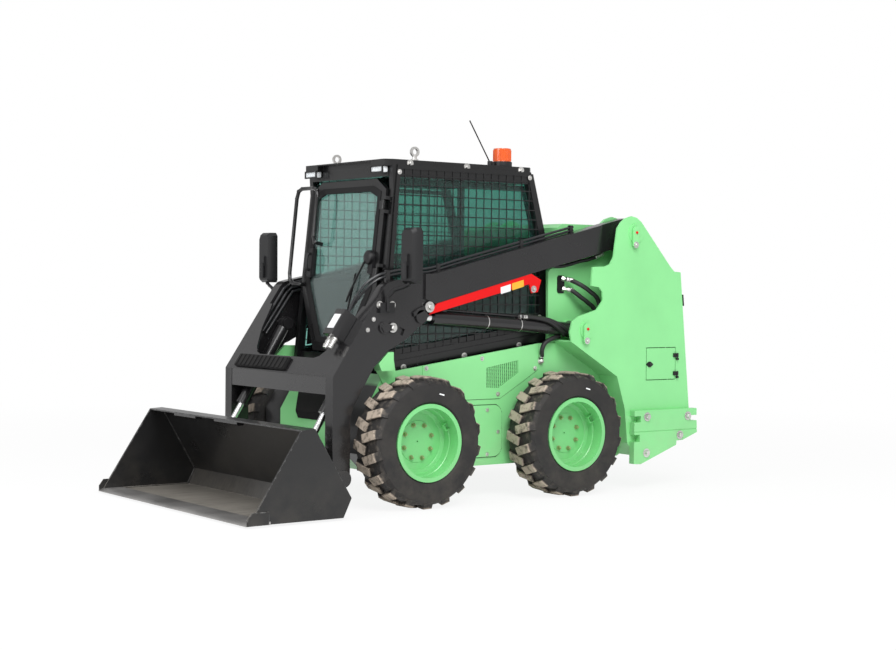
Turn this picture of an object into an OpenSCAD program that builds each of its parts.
// Skid steer loader with a closed cab, radial lift arms and a smooth-edged bucket.
// Millimetres. X points forward, Y to the machine's left, Z up from the ground.

/* [Overall] */
// Distance between the front and rear axles
wheelbase = 1113; // [1080:1:1140]
// Distance between the middles of the left and right tyres
track = 1400; // [1390:1:1420]
// Height of the belly above the ground
ground_clearance = 200; // [180:1:215]
// Width over the chassis side plates
chassis_w = 1090; // [1084:1:1092]
// Height of the cab roof above the ground
roof_z = 2035; // [2020:1:2060]
// Width of the cab over its side frames
cab_w = 930; // [910:1:940]

/* [Wheels] */
// Radius of the tyre out to the tips of its lugs
tyre_r = 385; // [375:1:390]
// Width of the tyre at its sidewalls
tyre_w = 266; // [250:1:272]
// Height of a tread lug
lug_h = 24; // [18:1:26]
// Number of lugs on each shoulder of a tyre
lug_count = 18; // [14:1:20]
// Radius of the rim flange
rim_r = 226; // [220:1:232]
// Radius of the wheel stud circle
stud_r = 101; // [95:1:108]
// Radius of the axle shaft
axle_r = 45; // [38:1:50]

/* [Lift arms] */
// Width of an arm's box section
arm_w = 79; // [76:1:82]
// Distance between the middles of the two arms
arm_spread = 1171; // [1168:1:1174]
// Thickness of the plates of an arm
arm_plate = 12; // [10:1:13]
// Radius of the main pivot pins
pin_r = 28; // [24:1:30]
// Gap between a pin and its bore
pin_gap = 0.3; // [0.2:0.1:0.5]

/* [Cylinders] */
// Outside radius of a lift cylinder barrel
lift_barrel_r = 42; // [39:1:43]
// Radius of a lift cylinder rod
lift_rod_r = 24; // [20:1:25]
// Outside radius of a tilt cylinder barrel
tilt_barrel_r = 37; // [34:1:38]
// Radius of a tilt cylinder rod
tilt_rod_r = 20; // [17:1:21]

/* [Bucket] */
// Width of the bucket
bucket_w = 1824; // [1700:1:1860]
// Thickness of the bucket's shell
bucket_plate = 9; // [7:1:10]
// Thickness of the bucket's side plates
bucket_side = 14; // [10:1:16]
// Thickness of the cutting edge
edge_h = 18; // [14:1:20]

/* [Plates and glass] */
// Thickness of the tower plates
tower_plate = 12; // [10:1:14]
// Thickness of the window glass
glass_t = 6; // [5:1:8]
// Spacing of the wires in the side guards
mesh_pitch = 59; // [52:1:66]
// Width of a wire in the side guards
mesh_wire = 6; // [5:1:8]
// Thickness of the cab's sheet panels
sheet_t = 4; // [3:1:5]

/* [Hidden] */
$fn = 72;

// Frame: the numbers below count X from the middle of the wheelbase
edge_x = 1808;
rear_x = -1636;
mid_x = (edge_x + rear_x) / 2;

// Wheels
axle_z = tyre_r;
axle_x = wheelbase / 2;
wheel_y = track / 2;
carcass_r = tyre_r - lug_h;
bead_r = rim_r - 16;
disc_y = -15;
disc_t = 12;
flange_y = 120;

// Chassis
side_y = chassis_w / 2;
frame_t = 12;
case_in = 385;
case_top = 590;
case_x = axle_x + 215;
belly_z = ground_clearance;
nose_x = 850;

// Towers
tower_in_t = 20;
tail_lean = (1601 - 1514) / (1393 - 510);
pivot = [-1116, 1637];
lift_base = [-712, 1023];

// Lift arms at rest
arm_y = arm_spread / 2;
arm_in = arm_y - arm_w / 2;
arm_out = arm_y + arm_w / 2;
tower_y = arm_out + 95;
tower_in = arm_in - 33;
tail_y = tower_in - 9;
slope_lo = [1095, 768];
slope_hi = [754, 1277];
hinge = [1030, 189];
lift_eye = [493, 1108];
tilt_top = [753, 1045];
tilt_eye = [1166, 377];
tilt_y = arm_in - 66;
slope_a = atan2(slope_hi[1] - slope_lo[1], slope_lo[0] - slope_hi[0]);

// Cylinders
lift_len = norm(lift_eye - lift_base);
lift_a = atan2(lift_eye[1] - lift_base[1], lift_eye[0] - lift_base[0]);
tilt_len = norm(tilt_eye - tilt_top);
tilt_a = atan2(tilt_eye[1] - tilt_top[1], tilt_eye[0] - tilt_top[0]);

// Bucket outline seen from the side
back_lo = [1146, 120];
back_hi = [1385, 512];
heel = [1198, 14];
lip = [1468, 507];
back_a = atan2(back_hi[1] - back_lo[1], back_hi[0] - back_lo[0]);

// Cab
cab_y = cab_w / 2;
post_t = 38;
cab_in = cab_y - post_t;
eave_z = roof_z - 40;
door_top = 1925;
door_low = 885;
door_lean = 0.11;
door_y = cab_in - 12;
door_t = 26;

// X of the towers' rear edge at height z
function tail_x(z) = -1601 + (z - 510) * tail_lean;
// X of the door's outer face at height z
function door_x(z) = 600 + (1890 - z) * door_lean;
// Point on the bucket's back, s up along it and d in front of it
function back_at(s, d) = back_lo + s * [cos(back_a), sin(back_a)]
  + d * [sin(back_a), -cos(back_a)];

// Helpers: shared placement and simple shapes
module placed() {
  translate([-mid_x, 0, 0]) children();
}
// A flat outline in X and Z, given thickness from y0 to y1
module slab(y0, y1) {
  translate([0, y1, 0]) rotate([90, 0, 0]) linear_extrude(y1 - y0) children();
}
// The child and its copy on the other side of the machine
module both() {
  children();
  mirror([0, 1, 0]) children();
}
// A round bar across the machine
module bar_y(p, r, y0, y1) {
  translate([p[0], y0, p[1]]) rotate([-90, 0, 0]) cylinder(r = r, h = y1 - y0);
}
// A block between two corners
module block(a, b) {
  translate(a) cube(b - a);
}
// A round bar between two points
module bar(p, q, r) {
  v = q - p;
  translate(p) rotate([0, acos(v[2] / norm(v)), atan2(v[1], v[0])]) cylinder(r = r, h = norm(v));
}
function unit(v) = v / norm(v);
// A bent tube through a list of points, with a ball in each bend
module bent(pts, r) {
  for (i = [0 : len(pts) - 2]) bar(pts[i], pts[i + 1], r);
  for (i = [1 : len(pts) - 2]) {
    turn = acos(unit(pts[i] - pts[i - 1]) * unit(pts[i + 1] - pts[i]));
    translate(pts[i]) sphere(r = r / cos(turn / 2) + 0.6);
  }
}

// A run of hose through a list of points, round at its ends
module hose(pts, r) {
  for (i = [0 : len(pts) - 2]) hull() {
    translate(pts[i]) sphere(r = r, $fn = 10);
    translate(pts[i + 1]) sphere(r = r, $fn = 10);
  }
}
// A strip of even thickness that follows a line of points, on its left
module strip(pts, t) {
  n = len(pts);
  function dir(i) = (pts[i + 1] - pts[i]) / norm(pts[i + 1] - pts[i]);
  function left(d) = [-d[1], d[0]];
  function inner(i) =
    i == 0 ? pts[0] + t * left(dir(0)) :
    i == n - 1 ? pts[n - 1] + t * left(dir(n - 2)) :
    pts[i] + t * (left(dir(i - 1)) + left(dir(i))) / (1 + left(dir(i - 1)) * left(dir(i)));
  polygon(concat(pts, [for (i = [n - 1 : -1 : 0]) inner(i)]));
}
// A flat outline with round corners, between corners a and b
module rounded(a, b, r) {
  translate([a[0] + r, a[1]]) square([b[0] - a[0] - 2 * r, b[1] - a[1]]);
  translate([a[0], a[1] + r]) square([b[0] - a[0], b[1] - a[1] - 2 * r]);
  for (x = [a[0] + r, b[0] - r], z = [a[1] + r, b[1] - r]) translate([x, z]) circle(r = r);
}

// Chassis: side plates, chain cases, belly and front
frame_side = [[tail_x(470) + 14, 470], [-1130, belly_z], [740, belly_z], [nose_x, 310], [nose_x, 520],
  [700, 770], [653, 783], [-465, 937], [tail_x(937) + 14, 937]];
module main_frame() {
  color("lightgreen") placed() {
    both() slab(side_y - frame_t, side_y) difference() {
      polygon(frame_side);
      polygon(vent);
    }
    both() block([-case_x, case_in, belly_z], [case_x, side_y - frame_t, case_top]);
    block([-1130, -case_in, belly_z], [740, case_in, belly_z + 12]);
    slab(-(side_y - frame_t), side_y - frame_t)
      strip([[740, belly_z], [nose_x, 310], [nose_x, 520], [700, 770]], 12);
    slab(-(side_y - frame_t), side_y - frame_t)
      strip([[tail_x(560) + 14, 560], [tail_x(470) + 14, 470], [-1130, belly_z], [-1100, belly_z]], 12);
  }
}

tower_outer = [[-1076, 1745], [-1020, 1728], [-985, 1700], [-957, 1663], [-928, 1484],
  [-900, 1438], [-853, 1421], [-753, 1417], [-744, 1299], [-806, 1290], [-836, 1262],
  [-842, 1208], [-791, 1149], [-640, 1108], [-590, 1075], [-572, 1010], [-585, 950],
  [-968, 726], [-1036, 519], [-1060, 300], [-1130, 215], [-1240, 262], [-1601, 400],
  [-1601, 510], [-1514, 1393], [-1457, 1397], [-1419, 1431], [-1162, 1711], [-1120, 1737]];
tower_inner = [[-1076, 1745], [-1020, 1728], [-985, 1700], [-957, 1663], [-928, 1484],
  [-860, 1455], [-560, 1400], [-548, 1380], [-548, 760], [-1000, 600], [tail_x(600), 600],
  [-1514, 1393], [-1457, 1397], [-1419, 1431], [-1162, 1711], [-1120, 1737]];
flap_x = [-1478, -1216];
flap_z = [694, 906];
flap_hinges = [735, 853];
module tower_body() {
  slab(tower_y - tower_plate, tower_y) polygon(tower_outer);
  slab(tower_in, tower_in + tower_in_t) polygon(tower_inner);
  slab(side_y, tower_y - tower_plate)
    strip([[-585, 950], [-968, 726], [-1036, 519], [-1060, 300], [-1130, 215]], -10);
  slab(tower_in, tower_y - tower_plate)
    strip([[-1250, 1615], [-1419, 1431], [-1457, 1397], [-1514, 1393], [tail_x(945), 945]], 10);
  slab(side_y, tower_y - tower_plate)
    strip([[tail_x(950), 950], [tail_x(510), 510], [-1601, 400], [-1240, 262]], 10);
  bar_y(pivot, 62, tower_y - tower_plate - 22, tower_y + 6);
  bar_y(pivot, 62, tower_in - 6, arm_in - 6);
  bar_y(pivot, pin_r, tower_in - 10, tower_y + 12);
  bar_y(lift_base, 58, arm_y + 44, tower_y + 6);
  bar_y(lift_base, 58, tower_in, arm_y - 44);
  bar_y(lift_base, pin_r, tower_in, tower_y + 12);
}
module tower_left() {
  color("lightgreen") placed() {
    difference() {
      tower_body();
      block([flap_x[0], tower_y - 20, flap_z[0]], [flap_x[1], tower_y + 20, flap_z[1]]);
    }
    for (z = flap_hinges) {
      translate([flap_x[0] - 6, tower_y + 10, z - 20]) cylinder(r = 4, h = 34);
      block([flap_x[0] - 14, tower_y - 2, z - 32], [flap_x[0] + 2 - 4, tower_y + 16, z - 18]);
    }
  }
}
module tower_right() {
  color("lightgreen") placed() {
    mirror([0, 1, 0]) tower_body();
    for (z = tail_hinges) at_tail_hinge(z) {
      translate([0, 0, -30]) cylinder(r = 7, h = 120);
      block([-8, -24, -30], [50, 8, -6]);
      block([-8, -24, 66], [50, 8, 90]);
    }
  }
}

weight_side = [[-1081, 506], [-1631, 505], [-1631, 460], [-1577, 460], [-1577, 425], [-1632, 425],
  [-1636, 347], [-1509, 302], [-1452, 300], [-1449, 272], [-1138, 163], [-1078, 167], [-1079, 307],
  [-1128, 307], [-1128, 352], [-1079, 352], [-1080, 431], [-1137, 431], [-1137, 470], [-1081, 470]];
module counterweights() {
  color("lightgreen") placed() both() difference() {
    slab(tower_y, tower_y + 45) polygon(weight_side);
    block([-1650, tower_y + 41, 368], [-1070, tower_y + 50, 372]);
  }
}

panel_side = [[420, 815], [-462, 937], [-462, 775], [-343, 705], [-160, 603], [420, 603]];
vent = [[-55, 793], [-301, 835], [-302, 756], [-151, 669], [-56, 672]];
vent_rim = [[-50, 798], [-306, 841], [-307, 753], [-153, 664], [-51, 667]];
module side_panels() {
  color("lightgreen") placed() both() {
    slab(side_y, side_y + sheet_t) difference() {
      polygon(panel_side);
      polygon(vent);
    }
    for (x = [-296 : 15 : -60]) slab(side_y + 0.6, side_y + sheet_t - 0.6) intersection() {
      polygon(vent_rim);
      translate([x, 640]) square([6, 220]);
    }
  }
}

module chain_case_covers() {
  color("lightgreen") placed() both() slab(side_y, side_y + 8) rounded([-175, 250], [175, 565], 60);
}

module axle_shafts() {
  color("dimgray") placed() both() for (x = [-axle_x, axle_x]) {
    bar_y([x, axle_z], 85, side_y, side_y + 55);
    bar_y([x, axle_z], axle_r, side_y, wheel_y + disc_y - disc_t / 2 - pin_gap);
  }
}

module engine_block() {
  color("gray") placed() {
    block([-1400, -300, 400], [-650, 300, 1150]);
    for (x = [-1050, -720]) block([x, -250, belly_z + 12], [x + 60, 250, 400]);
  }
}

hood_line = [[-1500, 1386], [-1470, 1408], [-1220, 1655], [-1150, 1690], [-690, 1690], [-650, 1665],
  [-640, 1378]];
hood_y = tower_in - 15;
module hood() {
  color("lightgreen") placed() difference() {
    union() {
      slab(-hood_y, hood_y) strip(hood_line, -8);
      both() slab(hood_y - 8, hood_y) polygon(hood_line);
      both() block([-1440, hood_y - 4, 1380], [-660, tower_in, 1392]);
    }
    for (i = [0 : 5]) rotate([0, -45, 0]) block([20 + i * 44, -380, 1900], [40 + i * 44, 380, 2200]);
  }
}

module boom_stops() {
  color("lightgreen") placed() both() {
    slab(side_y, side_y + 10) polygon([[600, 690], [690, 690], [781, 838], [715, 903], [640, 903]]);
    slab(side_y, arm_out - 5) polygon([[676, 793], [760, 793], [781, 838], [715, 903], [676, 903]]);
  }
}

// Cab: side frames, front and rear cross members
cab_side = [[596, eave_z], [door_x(1850) - 18, 1850], [door_x(800) - 18, 800], [-590, 977],
  [-575, 1620], [-473, eave_z]];
cab_window = [[545, eave_z - 65], [556, 1850], [640, 900], [-530, 1060],
  [-520, 1620], [-430, eave_z - 65]];
module cab_frame() {
  color("dimgray") placed() {
    both() slab(cab_in, cab_y) difference() {
      polygon(cab_side);
      polygon(cab_window);
    }
    slab(-cab_in, cab_in) polygon([[530, eave_z - 60], [596, eave_z - 60], [596, eave_z], [530, eave_z]]);
    slab(-cab_in, cab_in) polygon([[-473, eave_z], [-490, eave_z - 60], [-430, eave_z - 60], [-430, eave_z]]);
    slab(-cab_in, cab_in) polygon([[-588, 1040], [-589, 977], [-520, 967], [-520, 1040]]);
    slab(-cab_in, cab_in) polygon([[670, 800], [door_x(870) - 40, 870], [door_x(870) - 90, 870], [620, 800]]);
    both() slab(cab_in + 4, cab_y + 7) polygon([[690, 778], [690, 826], [-586, 1001], [-586, 953]]);
    both() block([-520, 395, case_top], [-470, cab_y, 990]);
    both() block([560, 395, case_top], [610, cab_y, 840]);
    for (z = door_hinges) at_door_hinge(z) {
      translate([0, 0, -26]) cylinder(r = 6, h = 102);
      block([-40, -3, -26], [8, 30, -6]);
      block([-40, -3, 56], [8, 30, 76]);
    }
  }
}

module cab_roof() {
  color("dimgray") placed() {
    difference() {
      union() {
        translate([0, 0, eave_z]) linear_extrude(roof_z - eave_z)
          polygon([[-479, 35 - cab_y], [-445, -cab_y], [590, -cab_y], [637, 25 - cab_y], [637, cab_y - 25],
            [590, cab_y], [-445, cab_y], [-479, cab_y - 35]]);
      }
      block([596, -300, eave_z - 10], [660, 300, roof_z - 8]);
    }
    both() difference() {
      union() {
        translate([412, cab_y - 33, roof_z]) cylinder(r = 22, h = 8);
        translate([412, cab_y - 33, roof_z]) cylinder(r = 13, h = 30);
        bar_y([412, roof_z + 52], 31, cab_y - 40, cab_y - 26);
      }
      bar_y([412, roof_z + 52], 17.5, cab_y - 65, cab_y - 5);
    }
  }
}

module cab_glass() {
  color("lightblue") placed() {
    both() slab(cab_in - glass_t, cab_in)
      polygon([[560, eave_z - 62], [570, 1850], [648, 885], [-540, 1050], [-530, 1625], [-440, eave_z - 62]]);
    slab(-cab_in, cab_in) polygon([[-575, 1040], [-570, 1620], [-486, eave_z - 60], [-478, eave_z - 60],
      [-562, 1620], [-567, 1040]]);
  }
}

guard_side = [[560, eave_z + 10], [575, 1850], [655, 840], [-560, 1005], [-545, 1620], [-450, eave_z + 10]];
module side_guards() {
  color("dimgray") placed() both() {
    slab(cab_y, cab_y + 8) difference() {
      polygon(guard_side);
      offset(delta = -26) polygon(guard_side);
    }
    for (x = [-560 : mesh_pitch : 660]) slab(cab_y + 1, cab_y + 4) intersection() {
      polygon(guard_side);
      translate([x, 800]) square([mesh_wire, 1300]);
    }
    for (z = [820 : mesh_pitch : 2040]) slab(cab_y + 4.5, cab_y + 7.5) intersection() {
      polygon(guard_side);
      translate([-700, z]) square([1500, mesh_wire]);
    }
  }
}

module cab_floor() {
  color("dimgray") placed() {
    block([-470, 7 - cab_in, case_top], [560, cab_in - 7, case_top + 12]);
    block([-350, -240, case_top + 12], [150, 240, 690]);
  }
}

module seat() {
  color("black") placed() {
    block([-260, -240, 690], [220, 240, 790]);
    block([-370, -230, 690], [-260, 230, 1330]);
  }
}

module control_levers() {
  color("black") placed() both() {
    block([-150, 270, case_top + 12], [260, 380, 900]);
    bar([200, 325, 895], [215, 325, 1040], 18);
  }
}

module work_lamps() {
  color("white") placed() both() block([600, cab_y - 155, eave_z - 38], [640, cab_y - 35, eave_z]);
}

module tail_lamps() {
  color("red") placed() both() slab(560, 690) polygon([[tail_x(1180) - 30, 1180], [tail_x(1240) - 30, 1240],
    [tail_x(1240) - 0.2, 1240], [tail_x(1180) - 0.2, 1180]]);
}

module beacon() {
  color("orange") placed() translate([-275, cab_y - 65, roof_z]) {
    cylinder(r = 62, h = 30);
    cylinder(r = 55, h = 112);
  }
}

module antenna() {
  color("black") placed() {
    translate([-180, cab_y - 65, roof_z]) cylinder(r = 16, h = 30);
    bar([-180, cab_y - 65, roof_z + 20], [-20, cab_y - 65, roof_z + 270], 4);
  }
}

module tower_hoses() {
  color("black") placed() both() {
    hose([[-662, tower_in + tower_in_t + 12.3, 1333], [-665, 574, 1331], [-692, 617, 1320], [-742, 641, 1297],
      [-868, 644, 1211], [-900, 639, 1080]], 13);
    hose([[-688, tower_in + tower_in_t + 12.3, 1270], [-691, 563, 1268], [-716, 592, 1255], [-757, 603, 1229],
      [-869, 605, 1149], [-900, 601, 1040]], 13);
  }
}

// Front door: a leaning frame with its glass
door_outline = [[-door_y, 1860], [-door_y + 110, door_top], [door_y - 110, door_top], [door_y, 1860],
  [door_y, 1250], [220, door_low], [-220, door_low], [-door_y, 1250]];
door_window = [[-door_y + 55, 1840], [-door_y + 145, door_top - 50], [door_y - 145, door_top - 50],
  [door_y - 55, 1840], [door_y - 55, 1270], [180, door_low + 60], [-180, door_low + 60],
  [-door_y + 55, 1270]];
module door_sheet(front, t) {
  slab(-600, 600) polygon([[door_x(800) - front, 800], [door_x(800) - front - t, 800],
    [door_x(2000) - front - t, 2000], [door_x(2000) - front, 2000]]);
}
module across_x(x0, x1) {
  translate([x0, 0, 0]) rotate([90, 0, 90]) linear_extrude(x1 - x0) children();
}
door_hinges = [1340, 1740];
module at_door_hinge(z) {
  translate([door_x(z) + 12, door_y + 6, z]) rotate([0, -atan(door_lean), 0]) children();
}
module door_frame() {
  color("dimgray") placed() {
    intersection() {
      door_sheet(0, door_t);
      across_x(500, 800) difference() {
        polygon(door_outline);
        polygon(door_window);
      }
    }
    for (z = door_hinges) at_door_hinge(z) difference() {
      union() {
        cylinder(r = 11, h = 50);
        block([-14, -45, 0], [0, 0, 50]);
      }
      translate([0, 0, -1]) cylinder(r = 6 + pin_gap, h = 52);
    }
  }
}
module door_glass() {
  color("lightblue") placed() intersection() {
    door_sheet(10, glass_t);
    across_x(500, 800) polygon(door_window);
  }
}
module door_handle() {
  color("dimgray") placed() bent([[door_x(1290) + 1.6, -door_y + 20, 1290],
    [door_x(1290) + 34, -door_y + 20, 1290], [door_x(1290) + 50, -447, 1290],
    [door_x(1320) + 60, -480, 1320], [door_x(1360) + 60, -490, 1360], [door_x(1830) + 60, -496, 1830],
    [door_x(1875) + 60, -482, 1875], [door_x(1890) + 60, -445, 1890], [door_x(1890) + 60, -305, 1890],
    [door_x(1875) + 60, -265, 1875], [door_x(1830) + 60, -250, 1830], [door_x(1590) + 60, -250, 1590],
    [door_x(1550) + 45, -250, 1550], [door_x(1540) - 8.3, -250, 1540]], 12);
}

// Rear door: leans with the rear edges of the towers, hinged on the right
module at_tail_hinge(z) {
  translate([tail_x(z) - 12, -tail_y, z]) rotate([0, atan(tail_lean), 0]) children();
}
tail_hinges = [700, 1240];
module rear_door() {
  color("lightgreen") placed() {
    difference() {
      slab(-tail_y + 18, tail_y) polygon([[tail_x(580), 580], [tail_x(1370), 1370], [tail_x(1370) + 34, 1370],
        [tail_x(580) + 34, 580]]);
      for (z = [900 : 34 : 1274], y = [-420, 40]) block([-1700, y, z], [-1400, y + 380, z + 16]);
    }
    for (z = tail_hinges) at_tail_hinge(z) difference() {
      union() {
        cylinder(r = 13, h = 60);
        block([-1, 0, 0], [12, 50, 60]);
      }
      translate([0, 0, -1]) cylinder(r = 7 + pin_gap, h = 62);
    }
  }
}

// Service flap on the left tower, flush in its opening
module service_flap() {
  color("lightgreen") placed() {
    block([flap_x[0] + 5, tower_y - 4, flap_z[0] + 5], [flap_x[1] - 5, tower_y, flap_z[1] - 5]);
    for (z = flap_hinges) difference() {
      union() {
        translate([flap_x[0] - 6, tower_y + 10, z - 13]) cylinder(r = 8, h = 26);
        block([flap_x[0] - 6, tower_y + 5, z - 13], [flap_x[0] + 24, tower_y + 10, z + 13]);
        block([flap_x[0] + 12, tower_y - 1, z - 13], [flap_x[0] + 24, tower_y + 6, z + 13]);
      }
      translate([flap_x[0] - 6, tower_y + 10, z - 20]) cylinder(r = 4 + pin_gap, h = 40);
    }
  }
}

// Lift arms
arm_side = [slope_lo, [1046, 841], slope_hi, [728, 1303], [680, 1317], [469, 1359], [401, 1360],
  [-1050, 1722], [-1116, 1735], [-1180, 1712], [-1214, 1637], [-1190, 1560], [-1116, 1525],
  [-1003, 1532], [-429, 1396], [-2, 1285], [395, 1185], [427, 1117], [476, 1066], [611, 966],
  [697, 923], [714, 918], [820, 815], [947, 610], [975, 538], [975, 189], [1087, 189], [1095, 413]];
eye_room = [[300, 1290], [420, 1210], [470, 1190], [560, 1170], [590, 1110], [570, 1040], [640, 900],
  [300, 900]];
module arm_body() {
  difference() {
    union() {
      slab(arm_in, arm_out) polygon(arm_side);
      bar_y(hinge, 56, arm_in, arm_out);
      slab(arm_out, arm_out + 15) polygon([[469, 1359], [401, 1360], [-900, 1684], [-900, 1508], [-429, 1396],
        [-2, 1285], [395, 1185], [469, 1211]]);
      bar_y(lift_eye, 40, arm_out, arm_out + 14);
      bar_y(tilt_top, 34, arm_out, arm_out + 12);
      bar_y(tilt_top, 20, tilt_y - 34, arm_in);
      bar_y(tilt_top, 34, tilt_y - 42, tilt_y - 34);
    }
    slab(arm_in + arm_plate, arm_out - arm_plate) polygon(eye_room);
    slab(arm_out - 14, arm_out + 20) translate([631, 1024]) rotate(25) square(40, center = true);
    bar_y(pivot, pin_r + pin_gap, arm_in - 20, arm_out + 20);
    bar_y(hinge, pin_r + pin_gap, arm_in - 20, arm_out + 20);
  }
}
module arm_left() {
  color("dimgray") placed() arm_body();
}
module arm_right() {
  color("dimgray") placed() mirror([0, 1, 0]) arm_body();
}

// Cross frame between the arms, drawn along the arms' slope
module on_slope() {
  translate([slope_lo[0], 0, slope_lo[1]]) rotate([0, slope_a, 0]) mirror([1, 0, 0]) children();
}
module arm_cross_frame() {
  color("dimgray") placed() {
    on_slope() translate([0, 0, -12]) linear_extrude(12) polygon([[0, -arm_in], [480, -arm_in],
      [480, -arm_in + 30], [300, -arm_in + 76], [170, -400], [130, -360], [115, -310],
      [115, 310], [130, 360], [170, 400], [300, arm_in - 76], [480, arm_in - 30], [480, arm_in], [0, arm_in]]);
    block([slope_lo[0] - 14, 2 - arm_in, 665], [slope_lo[0] - 2, arm_in - 2, slope_lo[1] - 1]);
    slab(-390, 390) polygon([[1087, 668], [1087, 756], [1036, 845], [975, 760], [1000, 668]]);
  }
}

module arm_pipes() {
  color("dimgray") placed() both() {
    for (i = [0 : 2]) bent([[905 - i * 22, arm_in - 13, 1010 - i * 15],
      [735 - i * 20, arm_in - 13, 1260 - i * 24], [690 - i * 10, arm_in - 13, 1292 - i * 24],
      [-820, arm_in - 13, 1640 - i * 24]], 9);
    for (x = [300, -500]) block([x - 15, arm_in - 24, 1305 - x * 0.2305 + 69],
      [x + 15, arm_in - 0.3, 1305 - x * 0.2305 + 142]);
  }
}

lock_top = [[385, 1187.5], [-2, 1285], [-326, 1369.2]];
module arm_lock() {
  color("red") placed() {
    slab(arm_out + 5, arm_out + 13) polygon(concat([[440, 1120], [385, 1185]], [lock_top[1], lock_top[2]],
      [[-406, 1331], [-380, 1257], [-330, 1250], [-310, 1305]]));
    slab(arm_in + 2, arm_out + 8) strip(lock_top, 10);
  }
}

mirror_outline = [[752, 1300], [864, 1300], [878, 1318], [880, 1590], [862, 1620], [764, 1620], [744, 1600],
  [740, 1316]];
module mirrors() {
  color("black") placed() both() {
    bent([[740, arm_out + 24, 1140], [740, arm_out + 24, 1220], [725, 690, 1262], [708, 760, 1280],
      [700, 800, 1296], [700, 808, 1340]], 10);
    hull() {
      across_x(660, 700) polygon(mirror_outline);
      across_x(700, 725) translate([808, 1460]) scale([0.8, 0.9]) translate([-808, -1460])
        polygon(mirror_outline);
    }
    block([690, arm_out, 1130], [790, arm_out + 20, 1190]);
  }
}

module aux_coupler() {
  color("gray") placed() {
    on_slope() block([230, 430, 0], [400, 530, 95]);
    on_slope() for (y = [455, 505]) translate([160, y, 45]) rotate([0, 90, 0]) cylinder(r = 17, h = 90);
  }
}

// Cylinders, each drawn along its own axis from the base pin at rest
module along(p, a) {
  translate([p[0], 0, p[1]]) rotate([0, -a, 0]) children();
}
lift_mouth = lift_len - 105;
lift_rod_len = 1060;
module lift_barrels() {
  color("dimgray") placed() both() translate([0, arm_y, 0]) along(lift_base, lift_a) difference() {
    union() {
      translate([50, 0, 0]) rotate([0, 90, 0]) cylinder(r = lift_barrel_r, h = lift_mouth - 50);
      translate([0, -38, 0]) rotate([-90, 0, 0]) cylinder(r = 54, h = 76);
      translate([410, 0, lift_barrel_r + 10]) rotate([0, 90, 0]) cylinder(r = 8, h = lift_mouth - 480);
      for (x = [430, lift_mouth - 100]) block([x, -12, lift_barrel_r - 6], [x + 30, 12, lift_barrel_r + 20]);
    }
    translate([80, 0, 0]) rotate([0, 90, 0]) cylinder(r = lift_barrel_r - 8, h = lift_mouth - 110);
    translate([80, 0, 0]) rotate([0, 90, 0]) cylinder(r = lift_rod_r + pin_gap, h = lift_mouth);
    translate([0, -50, 0]) rotate([-90, 0, 0]) cylinder(r = pin_r + pin_gap, h = 100);
  }
}
module lift_rods() {
  color("silver") placed() both() translate([0, arm_y, 0]) along(lift_base, lift_a) {
    translate([lift_len - lift_rod_len, 0, 0]) rotate([0, 90, 0])
      cylinder(r = lift_rod_r, h = lift_rod_len - 40);
    translate([lift_len - lift_rod_len, 0, 0]) rotate([0, 90, 0])
      cylinder(r = lift_barrel_r - 8 - pin_gap, h = 40);
    difference() {
      translate([lift_len, -21, 0]) rotate([-90, 0, 0]) cylinder(r = 45, h = 42);
      translate([lift_len, -30, 0]) rotate([-90, 0, 0]) cylinder(r = pin_r, h = 60);
    }
  }
}
tilt_mouth = tilt_len - 200;
tilt_rod_len = 640;
module tilt_barrels() {
  color("dimgray") placed() both() translate([0, tilt_y, 0]) along(tilt_top, tilt_a) difference() {
    union() {
      translate([35, 0, 0]) rotate([0, 90, 0]) cylinder(r = tilt_barrel_r, h = tilt_mouth - 35);
      translate([0, -24, 0]) rotate([-90, 0, 0]) cylinder(r = 40, h = 48);
    }
    translate([60, 0, 0]) rotate([0, 90, 0]) cylinder(r = tilt_barrel_r - 7, h = tilt_mouth - 85);
    translate([60, 0, 0]) rotate([0, 90, 0]) cylinder(r = tilt_rod_r + pin_gap, h = tilt_mouth);
    translate([0, -40, 0]) rotate([-90, 0, 0]) cylinder(r = 20 + pin_gap, h = 80);
  }
}
module tilt_rods() {
  color("silver") placed() both() translate([0, tilt_y, 0]) along(tilt_top, tilt_a) {
    translate([tilt_len - tilt_rod_len, 0, 0]) rotate([0, 90, 0])
      cylinder(r = tilt_rod_r, h = tilt_rod_len - 30);
    translate([tilt_len - tilt_rod_len, 0, 0]) rotate([0, 90, 0])
      cylinder(r = tilt_barrel_r - 7 - pin_gap, h = 35);
    difference() {
      translate([tilt_len, -22, 0]) rotate([-90, 0, 0]) cylinder(r = 34, h = 44);
      translate([tilt_len, -30, 0]) rotate([-90, 0, 0]) cylinder(r = 20, h = 60);
    }
  }
}

// Quick attach plate with its ears
module attach_plate() {
  color("dimgray") placed() {
    slab(-(arm_out - 55), arm_out - 55)
      polygon([back_at(20, 0), back_at(430, 0), back_at(430, -16), back_at(20, -16)]);
    both() {
      for (y = [arm_in - 26, arm_out + 5]) slab(y, y + 21) {
        polygon([back_at(20, -10), back_at(190, -10), hinge + [-8, 45], hinge + [-45, -10], hinge + [0, -48]]);
        translate(hinge) circle(r = 48);
      }
      bar_y(hinge, pin_r, arm_in - 26, arm_out + 26);
      for (y = [tilt_y - 40, tilt_y + 26]) slab(y, y + 14) {
        polygon([back_at(180, -10), back_at(400, -10), tilt_eye + [-10, 34], tilt_eye + [-30, -20]]);
        translate(tilt_eye) circle(r = 36);
      }
    }
  }
}

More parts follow.
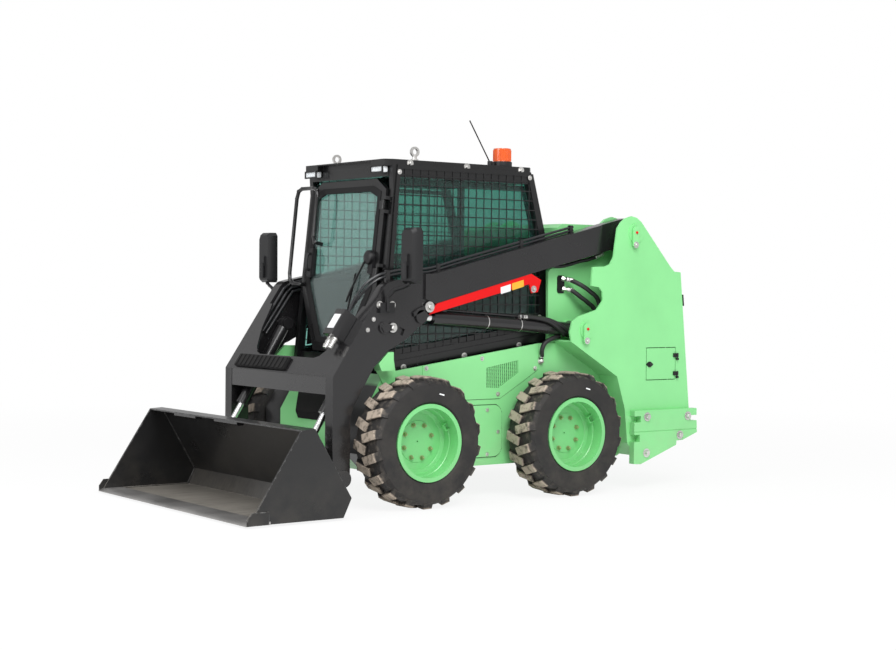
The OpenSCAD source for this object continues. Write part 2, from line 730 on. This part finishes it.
bucket_half = bucket_w / 2;
bucket_side_line = [heel, back_lo, back_hi, lip, [edge_x - 30, 12 + edge_h], [edge_x - 152, 12 + edge_h],
  [edge_x - 152, heel[1]]];
module bucket() {
  color("dimgray") placed() {
    both() slab(bucket_half - bucket_side, bucket_half) polygon(bucket_side_line);
    slab(-(bucket_half - bucket_side), bucket_half - bucket_side)
      strip([[edge_x - 152, heel[1]], heel, back_lo, back_hi, lip], -bucket_plate);
  }
}
module bucket_edge() {
  color("gray") placed() slab(-bucket_half, bucket_half)
    polygon([[edge_x - 152, 12], [edge_x, 12], [edge_x, 16], [edge_x - 30, 12 + edge_h],
      [edge_x - 152, 12 + edge_h]]);
}

// Wheels: a tyre is its revolved carcass with slanting lugs that meet in the middle
tyre_half = [[bead_r, flange_y - 12], [rim_r, flange_y - 12], [rim_r + 14, 124],
  [300, tyre_w / 2], [340, tyre_w / 2 - 5], [carcass_r - 3, 106], [carcass_r, 60]];
lug_w = 52;
lug_slant = 16;
lug_reach = 20 * sin(lug_slant) + lug_w / 2 * cos(lug_slant);
lug_tip = sqrt(tyre_r * tyre_r - lug_reach * lug_reach);
lug_phase = 90 + asin(lug_reach / tyre_r);
lug_side = [[carcass_r - 20, -14], [lug_tip, -14], [lug_tip, 20], [lug_tip - 3, 102], [344, tyre_w / 2 - 1],
  [334, tyre_w / 2 - 4], [carcass_r - 20, 100]];
module lug() {
  rotate([lug_slant, 0, 0]) slab(-lug_w / 2, lug_w / 2) polygon(lug_side);
}
module tyre() {
  rotate([-90, 0, 0]) {
    rotate_extrude()
      polygon(concat(tyre_half, [for (i = [len(tyre_half) - 1 : -1 : 0]) [tyre_half[i][0], -tyre_half[i][1]]]));
    for (i = [0 : lug_count - 1], side = [0, 1])
      rotate([0, 0, lug_phase + (i + side / 2) * 360 / lug_count]) mirror([0, 0, side]) lug();
  }
}
module rim() {
  rotate([-90, 0, 0]) {
    rotate_extrude() {
      polygon([[bead_r - 9, -flange_y], [rim_r, -flange_y], [rim_r, -flange_y + 12], [bead_r, -flange_y + 12],
        [bead_r, flange_y - 12], [rim_r, flange_y - 12], [rim_r, flange_y], [bead_r - 9, flange_y]]);
      polygon([[5, disc_y - disc_t / 2], [bead_r, disc_y - disc_t / 2], [bead_r, disc_y + disc_t / 2],
        [5, disc_y + disc_t / 2]]);
      polygon([[axle_r + pin_gap, disc_y - 60], [80, disc_y - 60], [80, disc_y], [axle_r + pin_gap, disc_y]]);
      polygon([[5, disc_y], [stud_r + 24, disc_y], [stud_r + 20, disc_y + 9], [5, disc_y + 9]]);
      polygon([[160, disc_y], [bead_r - 1, disc_y], [bead_r - 1, disc_y + 60], [bead_r - 14, disc_y + 50],
        [bead_r - 22, disc_y + 14], [168, disc_y + 9]]);
    }
  }
}
module at_wheel(x, side) {
  translate([x, side * wheel_y, axle_z]) scale([1, side, 1]) children();
}
module rim_front_left() {
  color("limegreen") placed() at_wheel(axle_x, 1) rim();
}
module rim_front_right() {
  color("limegreen") placed() at_wheel(axle_x, -1) rim();
}
module rim_rear_left() {
  color("limegreen") placed() at_wheel(-axle_x, 1) rim();
}
module rim_rear_right() {
  color("limegreen") placed() at_wheel(-axle_x, -1) rim();
}
module tyre_front_left() {
  color("black") placed() at_wheel(axle_x, 1) tyre();
}
module tyre_front_right() {
  color("black") placed() at_wheel(axle_x, -1) tyre();
}
module tyre_rear_left() {
  color("black") placed() at_wheel(-axle_x, 1) tyre();
}
module tyre_rear_right() {
  color("black") placed() at_wheel(-axle_x, -1) tyre();
}

main_frame();
tower_left();
tower_right();
counterweights();
side_panels();
chain_case_covers();
axle_shafts();
engine_block();
hood();
boom_stops();
cab_frame();
cab_roof();
cab_glass();
side_guards();
cab_floor();
seat();
control_levers();
work_lamps();
tail_lamps();
beacon();
antenna();
tower_hoses();
door_frame();
door_glass();
door_handle();
rear_door();
service_flap();
arm_left();
arm_right();
arm_cross_frame();
arm_pipes();
arm_lock();
mirrors();
aux_coupler();
lift_barrels();
lift_rods();
tilt_barrels();
tilt_rods();
attach_plate();
bucket();
bucket_edge();
rim_front_left();
rim_front_right();
rim_rear_left();
rim_rear_right();
tyre_front_left();
tyre_front_right();
tyre_rear_left();
tyre_rear_right();
